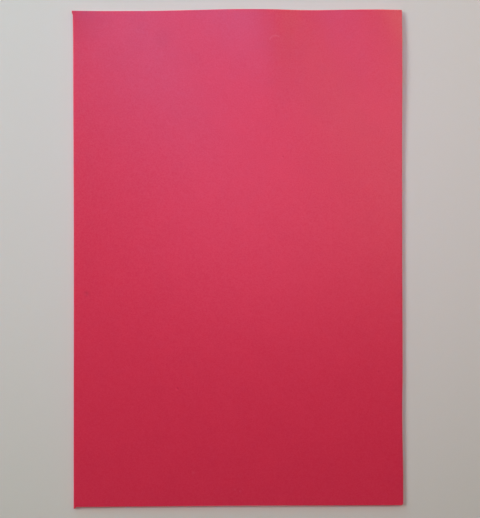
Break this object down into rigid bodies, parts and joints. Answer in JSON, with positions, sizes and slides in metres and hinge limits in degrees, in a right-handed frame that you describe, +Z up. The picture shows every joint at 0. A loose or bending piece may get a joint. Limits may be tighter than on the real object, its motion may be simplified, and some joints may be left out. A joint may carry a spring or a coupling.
{
  "type": "craft foam sheet",
  "caption": "Thin flat rectangular sheet of closed-cell craft foam with square-cut edges, lying flat with a soft ripple along a short edge, for cutting and gluing.",
  "frame": {"origin": "middle of the sheet's underside, on the surface it lies on", "axes": "+Z up out of the upper face, +Y along the length towards the rippled short edge, +X across the width"},
  "size_m": [0.1996, 0.3011, 0.0048],
  "materials": {
    "foam": "matte"
  },
  "bodies": {
    "root": {"foam_sheet": "foam"}
  },
  "joints": []
}
